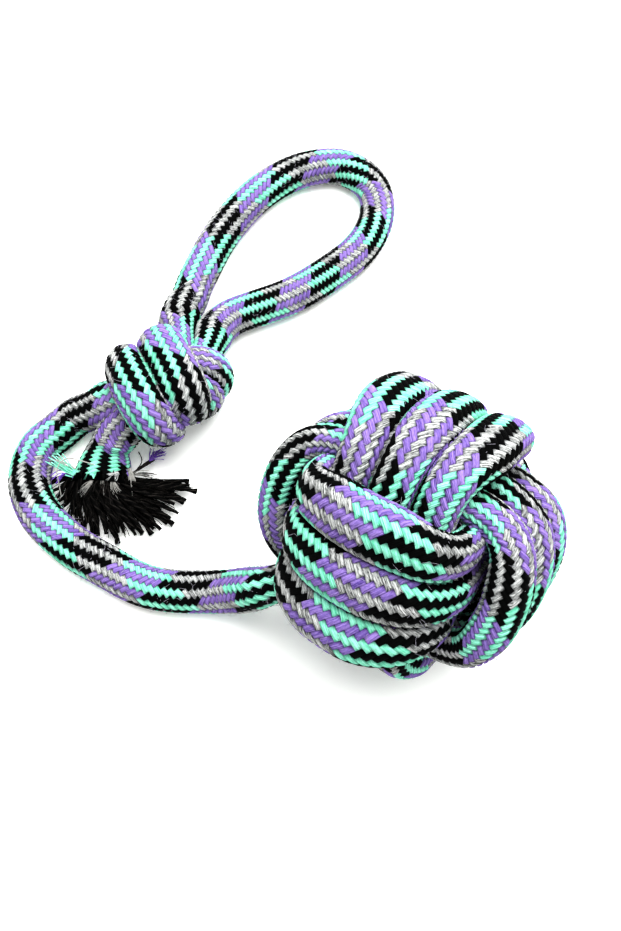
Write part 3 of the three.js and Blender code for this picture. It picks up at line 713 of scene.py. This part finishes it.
ends = {"start": 2, "leadSplit": 97, "leadEnd": 192.5}  # mm along the rope
leadSplit, leadEnd = rowAt(ends["leadSplit"]), rowAt(ends["leadEnd"])
rightRoot = rowAt(alongAt(leadStrand[-3]))
leftRoot = rowAt(alongAt(tailStrand[-3]))
tailStart = rowAt(alongAt(tailRoute[1]))
ropeEnd = math.floor(ropeLay.count(wholeRope.along[-1] - 1))
stretches = {
    "leadBallHalf": (rowAt(ends["start"]), leadSplit, ["lead_ball_half"], "lead_rope"),
    "leadKnotHalf": (leadSplit, leadEnd, ["lead_knot_half"], "lead_rope"),
    "knotLeadStrand": (leadEnd, rightRoot, ["knot_lead_strand"], "lead_strand"),
    "handleLoop": (rightRoot, leftRoot,
                   ["handle_loop", "handle_neck_left", "handle_neck_right"], "loop_rope"),
    "knotTailStrand": (leftRoot, tailStart, ["knot_tail_strand"], "tail_strand"),
    "tailCover": (tailStart, ropeEnd, ["tail_cover"], "tail_strand"),
}
made = {}
for name, (first, last, nodes, slotName) in stretches.items():
    ragged = tail["ragged"] if name == "tailCover" else 0
    piece = braidedPiece(name, wholeRope, ropeLay, first, last, braidedYarn, ragged)
    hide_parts(*nodes)
    made[name] = piece
print("rope braided")


def inFrame(point):
    return tuple((np.array(point[:3]) + shift) * mm)


neckHeight, neckStart, neckEnd = knot["neck"]
neck = np.array([*knot["place"], neckHeight])
bends = {  # the two bodies that a stretch joins, and where it bends between them
    "leadBallHalf": ("ball", "lead", (-20, 44.8, 6), (-62, 46, 6)),
    "leadKnotHalf": ("lead", "knot", (-107, 88, 6), (-90, 113, 6)),
    "handleLoop": ("knot", "handle", neck + neckStart * forward, neck + neckEnd * forward),
    "tailCover": ("knot", "tail", tailStrand[4], cutEnd),
}


def span(name):
    return ropeLay.place(np.array(stretches[name][:2]))


def bend(piece):
    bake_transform(piece)


for name in bends:
    bend(made[name])
knotStrands = ("knotLeadStrand", "knotTailStrand")
freeRopes = ("leadBallHalf", "leadKnotHalf", "handleLoop")
routeStep = 4.0  # mm
for name in knotStrands:
    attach(made[name], "knot")
for name in freeRopes:
    begin, end = span(name)
    route = [inFrame(p) for p in wholeRope.at(np.arange(begin, end, routeStep), wholeRope.points)]
    "object" if name != "leadBallHalf" else "knot"

# the tail's core yarns leave the cover side by side and fan out over the floor to their tips
fan = {
    "seed": 5,
    "layers": 4,
    "yarnsPerLayer": 15,
    "fibres": 110,
    "layerHeight": 2.1,
    "inside": 1,  # mm that the outer yarns keep off the cover's wall
    "depth": 5,  # mm inside the cover where the yarns start
    "outward": 0.11,
    "shorter": (-0.05, 0.2, 0.012),  # least and most share of the way to the tip, and more for each layer
    "fullBelow": (4, 0.4),  # how fast that sets in along the fan, and how late
    "scatter": 0.8,
    "tipHeight": (0.9, 1.4),  # of the lowest layer, and more for each layer
    "led": (0.34, 0.68),  # shares of the way where the curve leaves the cover's line and comes to the tip
    "sway": 1.3,
    "waves": ((5, 11), (0, 6), (0.2, 1)),  # how fast they wind, where they start and how wide they are
    "yarn": {"halfWidth": 0.825, "varies": (0.85, 1.1), "taper": 0.3, "taperFrom": -4, "pitch": (4.2, 6),
             "lies": 0.9, "steps": 30},
    "longYarn": {"halfWidth": 0.72, "knob": 0.3, "knobFrom": -9, "pitch": 5.0, "lobes": 0.24,
                 "first": 0.99, "apart": 0.09, "layer": 2.5, "height": 0.8, "steps": 34},
    "fibre": {"halfWidth": 0.13, "scatter": (0.7, 0.6), "height": 0.3, "steps": 22},
    "colours": ((112, 105, 99), (1, 1, 1)),
    "darker": 1.04,
    "tips": [
        (-99.1, 87.2, 3), (-96.4, 82.2, 3), (-93.8, 77.8, 2), (-91, 73.2, 3), (-87.2, 70, 2.5),
        (-82.8, 66.4, 2), (-78, 64.4, 1), (-71.9, 63.5, 2), (-69.1, 64.2, 3), (-66.4, 64.8, 2),
        (-62.8, 66.8, 1), (-59.2, 67.5, 1), (-56.2, 68.6, 3), (-51.5, 70.8, 2), (-52.6, 73.8, 3),
        (-48.7, 75.9, 3), (-47.7, 78.7, 3), (-47, 81.2, 4), (-45, 82.5, 4), (-44.8, 84, 4),
        (-48, 85.6, 4), (-54.5, 86, 4),
    ],
    "longTips": [
        (-43.2, 82.6, 5), (-46.2, 86.4, 5.5), (-47.4, 78.6, 4), (-50.6, 70.4, 2), (-58.8, 66.8, 1.5),
        (-70.6, 63.2, 2),
    ],
}
rng = np.random.default_rng(fan["seed"])
cutTangent = unit(wholeRope.points[-1] - wholeRope.points[-6])
cutSide = unit(np.cross((0, 0, 1.0), cutTangent))
cutUp = np.cross(cutTangent, cutSide)
offAxis = np.array([0.01, 0.02, 0.03])  # keeps a tube's first side off its own line


# a tube whose section has lobes that wind round it, as plies do
def plyTube(route, radii, sides=12, plies=3, pitch=5.0, depth=0.22):
    mesh, column, row, corner = sheet("ply", sides, len(route) - 1)
    tangents = tangentsOf(route)
    side = carriedSides(tangents, cutSide + offAxis)
    normal = np.cross(tangents, side)
    angle = column / sides * 2 * np.pi
    turned = alongOf(route)[row] / pitch
    radius = radii[row] * (1 + depth * np.cos(plies * angle + 2 * np.pi * turned))
    place = route[row] + (np.cos(angle) * radius)[:, None] * side[row]
    place = place + (np.sin(angle) * radius)[:, None] * normal[row]
    place[:, 2] = np.maximum(place[:, 2], floorGap)
    mesh.vertices.foreach_set("co", ((place + shift) * mm).ravel())
    uv = mesh.uv_layers.new(name="ply")
    uv.data.foreach_set("uv", np.stack([column[corner] / sides, turned[corner]], 1).ravel())
    closed(mesh, column, sides)
    return mesh


# many tubes in one piece
def joined(name, meshes, material):
    bm = bmesh.new()
    for mesh in meshes:
        bm.from_mesh(mesh)
        bpy.data.meshes.remove(mesh)
    together = bpy.data.meshes.new(name)
    bm.to_mesh(together)
    bm.free()
    piece = placed(name, together, material)
    return piece


# out of the cover, over a low rise and down to the tip
def fanned(root, lean, tip, height, steps):
    reach = np.linalg.norm(tip - root)
    first = root + lean * reach * fan["led"][0]
    second = root + (tip - root) * fan["led"][1] + cutSide * rng.normal(0, fan["sway"])
    t = np.linspace(0, 1, steps)[:, None]
    route = (1 - t) ** 3 * root + 3 * t * (1 - t) ** 2 * first + 3 * t * t * (1 - t) * second + t ** 3 * tip
    speed, start, wide = (rng.uniform(*limits) for limits in fan["waves"])
    wander = np.sin(t[:, 0] * speed + start) * wide * t[:, 0]
    route += wander[:, None] * cutSide
    route[:, 2] = np.maximum(route[:, 2], height)
    return route


# where a yarn starts, which way it leans and where it ends, by its share of the way along the fan
def fanPlace(share, layer):
    tips = np.array(fan["tips"], float)
    tip = np.array([np.interp(share * (len(tips) - 1), np.arange(len(tips)), tips[:, k]) for k in range(3)])
    across = (2 * share - 1) * (tail["cutHalfWidth"] - tail["wall"] - fan["inside"])
    curved = math.sqrt(max(0.05, 1 - (2 * share - 1) ** 2))
    lift = (layer - (fan["layers"] - 1) / 2) * fan["layerHeight"] * curved
    root = np.array(cutEnd) - cutTangent * fan["depth"] + cutSide * across + cutUp * lift
    (least, most, perLayer), (fast, late) = fan["shorter"], fan["fullBelow"]
    shorter = rng.uniform(least, most) * smoothStep(share * fast - late) + perLayer * layer
    scatter = np.array([*rng.normal(0, fan["scatter"], 2), 0])
    tip = tip + (np.array([*cutEnd[:2], tip[2]]) - tip) * shorter + scatter
    tip[2] = max(tip[2], fan["tipHeight"][0] + fan["tipHeight"][1] * layer)
    return root, unit(cutTangent + cutSide * across * fan["outward"]), tip


yarns = []
look = fan["longYarn"]
for tip in fan["longTips"]:
    root, lean, _ = fanPlace(look["first"] - look["apart"] * len(yarns), look["layer"])
    route = fanned(root, lean, np.array(tip), look["height"], look["steps"])
    knobbed = look["halfWidth"] + look["knob"] * smoothStep(np.linspace(look["knobFrom"], 1, len(route)))
    yarns.append(plyTube(route, knobbed, pitch=look["pitch"], depth=look["lobes"]))
look = fan["yarn"]
for layer in range(fan["layers"]):
    for i in range(fan["yarnsPerLayer"]):
        share = (i + 0.5 * (layer % 2)) / (fan["yarnsPerLayer"] - 0.5)
        root, lean, tip = fanPlace(share, layer)
        radius = look["halfWidth"] * rng.uniform(*look["varies"])
        route = fanned(root, lean, tip, radius * look["lies"], look["steps"])
        tapered = radius * (1 - look["taper"] * smoothStep(np.linspace(look["taperFrom"], 1, len(route))))
        yarns.append(plyTube(route, tapered, pitch=rng.uniform(*look["pitch"])))
look = fan["fibre"]
aside, up = look["scatter"]
for _ in range(fan["fibres"]):
    root, lean, tip = fanPlace(rng.uniform(0, 1), rng.uniform(0, fan["layers"] - 0.2))
    tip = tip + np.array([*rng.normal(0, aside, 2), abs(rng.normal(0, up))])
    route = fanned(root, lean, tip, look["height"], look["steps"])
    radii = np.full(look["steps"], look["halfWidth"])
    yarns.append(plyTube(route, radii, sides=5, plies=1, pitch=6.0, depth=0))
coreYarnBlack = plyMaterial("coreYarnBlack", *fan["colours"], 3, fan["darker"])
coreYarns = joined("coreYarns", yarns, coreYarnBlack)
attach(coreYarns, "tail")
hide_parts("tail_core_yarns")
print("yarns fanned out")

# cut threads of the cover at the tail
fray = {
    "bunched": 0.7,  # how soon the threads of a tuft part
    "stray": 0.2,
    "flat": np.array([1, 1, 0.6]),
    "shorter": (0, 0.25),
    "height": 0.3,
    "step": 0.5,
    "darker": 0.35,
}
# each piece's light and deep shade, and its tufts: how many threads, how thick, how far spread, and their way
frayed = {
    "mintFibres": ((190, 255, 235), (70, 210, 170), [
        (18, 0.42, 1.8, [(-86.5, 87, 8), (-91.2, 90, 9.5), (-96, 93, 11.5)]),
        (10, 0.5, 1.2, [(-85.5, 86, 7), (-88.8, 88.4, 8.2), (-91.5, 89.6, 9)]),
    ]),
    "purpleFibres": ((170, 130, 230), (80, 45, 160), [
        (16, 0.3, 1.3, [(-61.8, 95.2, 3.8), (-60, 97.4, 3.6), (-56.6, 99.2, 2.6)]),
        (9, 0.3, 1.1, [(-61.8, 95.2, 3.8), (-61.1, 97.8, 3.7), (-60.3, 100.6, 3)]),
        (7, 0.35, 1.6, [(-88, 87.5, 7), (-93.6, 88.6, 8), (-97, 85.2, 8)]),
        (5, 0.35, 1.2, [(-69, 90, 9), (-68.5, 87.5, 8.5), (-67, 85.5, 7)]),
    ]),
    "paleFibres": ((214, 212, 206), (104, 102, 100), [
        (1, 0.4, 0, [(-92.8, 80.3, 7), (-93.2, 84.5, 10), (-93.6, 88, 12.2), (-92.1, 91.1, 13.6),
                     (-89.2, 92.4, 14.2), (-84.6, 91.6, 13.6), (-79, 90.2, 12.4)]),
        (3, 0.3, 0.8, [(-87.7, 90, 8.5), (-91, 91.8, 11.5), (-95.5, 94, 12.5)]),
        (34, 0.26, 1, [(-67.2, 90.4, 9.5), (-66.8, 87, 9.6), (-66.2, 83.4, 7)]),
        (12, 0.22, 1.3, [(-67.4, 90, 8), (-67.6, 87, 8.5), (-68.4, 84.5, 6.5)]),
        (1, 0.4, 0, [(-70.5, 85, 7), (-68.8, 82, 7.2), (-66.4, 80.4, 6.2), (-64, 79.9, 5)]),
        (26, 0.24, 1.1, [(-80, 85.5, 11), (-82.6, 82.6, 10), (-85.8, 80.6, 7)]),
        (7, 0.2, 1, [(-67.5, 88.5, 7.5), (-64.5, 88.6, 7), (-61, 88.2, 5)]),
        (22, 0.24, 1.2, [(-73, 86, 11), (-72.4, 82.6, 10), (-71, 80, 7.5)]),
        (14, 0.22, 2, [(-76.5, 87, 11), (-76.9, 84, 10.4), (-77.4, 82, 9)]),
    ]),
    "blackFibres": ((60, 56, 54), (2, 2, 2), [
        (5, 0.7, 0.7, [(-69, 88.6, 5), (-65.1, 92.1, 4.2), (-61.5, 95.4, 3.2), (-59.4, 97.2, 2)]),
        (1, 0.4, 0, [(-66.3, 90.4, 6), (-64.6, 93.4, 5.4), (-64.6, 95.8, 4.8), (-66, 98.6, 5)]),
        (12, 0.22, 1, [(-67.5, 88.5, 6.5), (-64, 89, 6), (-60, 88.6, 4)]),
        (30, 0.24, 3, [(-76, 87, 10), (-76.4, 83.4, 9.8), (-77, 79, 8.4)]),
    ]),
}
for name, (light, deep, tufts) in frayed.items():
    threads = []
    for count, diameter, spread, way in tufts:
        for _ in range(count):
            t = np.linspace(0, 1, len(way))[:, None] ** fray["bunched"]
            aim = rng.normal(0, 1, 3) + rng.normal(0, fray["stray"], (len(way), 3))
            bent = np.array(way, float) + aim * spread * t * fray["flat"]
            reach = 1 - rng.uniform(*fray["shorter"]) * (count > 1)
            bent = bent[:1] + (bent - bent[:1]) * reach
            bent[:, 2] = np.maximum(bent[:, 2], fray["height"])
            route = curveThrough(bent, fray["step"])
            radii = np.full(len(route), diameter / 2)
            threads.append(plyTube(route, radii, sides=6, plies=2, pitch=3.0, depth=0.12))
    piece = joined(name, threads, plyMaterial(name, light, deep, 2, fray["darker"]))
    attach(piece, "tail")
print("threads frayed")

# loose fibres that stand off the braid where it is seen
fuzz = {
    "fibre": 0.11,
    "long": (1.2, 3.4),
    "rooted": -0.3,  # mm off the braid
    "rises": (0.2, 0.9),
    "curl": 0.5,
    "points": 6,
    "faces": (-0.5, 0.3),  # how far upwards, or away from a centre, the braid faces where they stand
    "colours": ((206, 204, 214), (110, 108, 122)),
    "ball": 700,  # on each band
    "knot": 500,  # on each strand
    "perMm": 5,  # on the free rope
    "clear": {"ball": 20, "knot": 12, "free": 3},  # mm at the ends of a stretch without them
}
fuzzYarn = plyMaterial("fuzzYarn", *fuzz["colours"], 1, fray["darker"])


def fuzzOn(path, begin, end, centre, count):
    s, angle = rng.uniform(begin, end, count), rng.uniform(0, 2 * np.pi, count)
    roots = path.surface(s, angle, fuzz["rooted"])
    out = unit(roots - path.at(s, path.points))
    up, off = fuzz["faces"]
    seen = out[:, 2] > up if centre is None else (out * unit(roots - centre)).sum(1) > off
    threads = []
    for root, away in zip(roots[seen], out[seen]):
        aim = rng.normal(0, 1, 3)
        aim = unit(aim - (aim @ away) * away + away * rng.uniform(*fuzz["rises"]))
        t = np.linspace(0, 1, fuzz["points"])[:, None]
        curl = np.cross(aim, away) * rng.normal(0, fuzz["curl"])
        route = root + (aim * t + curl * t * t) * rng.uniform(*fuzz["long"])
        radii = np.full(len(t), fuzz["fibre"] / 2)
        threads.append(plyTube(route, radii, sides=3, plies=1, pitch=4.0, depth=0))
    return threads


ballFuzz, clear = [], fuzz["clear"]["ball"]
for path in bandPaths:
    ballFuzz += fuzzOn(path, clear, path.along[-1] - clear, layoutBall, fuzz["ball"])
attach(joined("ballFuzz", ballFuzz, fuzzYarn), "ball")
knotFuzz, clear = [], fuzz["clear"]["knot"]
for name in knotStrands:
    begin, end = span(name)
    knotFuzz += fuzzOn(wholeRope, begin + clear, end - clear, knotCentre, fuzz["knot"])
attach(joined("knotFuzz", knotFuzz, fuzzYarn), "knot")
clear = fuzz["clear"]["free"]
for name in freeRopes:
    begin, end = span(name)
    threads = fuzzOn(wholeRope, begin + clear, end - clear, None, int((end - begin) * fuzz["perMm"]))
    bend(joined(name + "Fuzz", threads, fuzzYarn))
print("fibres raised")

# the floor, the light and the camera
studio = {
    "floor": {"halfWidth": 3, "colour": (0.92, 0.92, 0.9, 1), "glow": (1, 1, 0.96, 1), "glowStrength": 0.26},
    "world": 0.57,
    "softbox": {"energy": 20.5, "size": 0.85, "place": (0.13, 0.25, 0.84)},
    "gamma": 0.86,
}
floorMesh = bpy.data.meshes.new("floor")
bm = bmesh.new()
bmesh.ops.create_grid(bm, x_segments=1, y_segments=1, size=studio["floor"]["halfWidth"])
bm.to_mesh(floorMesh)
bm.free()
paper = Nodes("palePaper")
paper.set(Base_Color=studio["floor"]["colour"], Roughness=0.9, Emission_Color=studio["floor"]["glow"],
          Emission_Strength=studio["floor"]["glowStrength"])
placed("floor", floorMesh, paper.material)

world = bpy.data.worlds.new("studio")
scene.world = world
world.use_nodes = True
nodes, links = world.node_tree.nodes, world.node_tree.links
background = nodes["Background"]
background.inputs["Color"].default_value = (1, 1, 1, 1)
# the world lights the toy less than its backdrop shows in the camera
lightPath = nodes.new("ShaderNodeLightPath")
strength = nodes.new("ShaderNodeMapRange")
strength.inputs["To Min"].default_value = studio["world"]
links.new(lightPath.outputs["Is Camera Ray"], strength.inputs["Value"])
links.new(strength.outputs["Result"], background.inputs["Strength"])


def hung(name, data, place):
    thing = bpy.data.objects.new(name, data)
    scene.collection.objects.link(thing)
    thing.location = place
    return thing


box = studio["softbox"]
lamp = bpy.data.lights.new("softbox", "AREA")
lamp.energy, lamp.size = box["energy"], box["size"]
lampObject = hung("softbox", lamp, box["place"])
lampObject.rotation_euler = (-Vector(box["place"])).to_track_quat("-Z", "Y").to_euler()
scene.view_settings.view_transform = "Standard"
scene.view_settings.gamma = studio["gamma"]

# the camera that was fitted to the photograph, in pixels, degrees and mm
photo = {"focal": 700.0, "height": 931.0, "elevation": 69.6, "distance": 255.0}
camera = bpy.data.cameras.new("camera")
camera.sensor_fit = "VERTICAL"
camera.sensor_height = 24.0
camera.lens = camera.sensor_height * photo["focal"] / photo["height"]
camera.clip_start, camera.clip_end = 0.01, 20
cameraObject = hung("camera", camera, inFrame((0, 0, photo["distance"])))
cameraObject.rotation_euler = (math.radians(90 - photo["elevation"]), 0, 0)
scene.camera = cameraObject
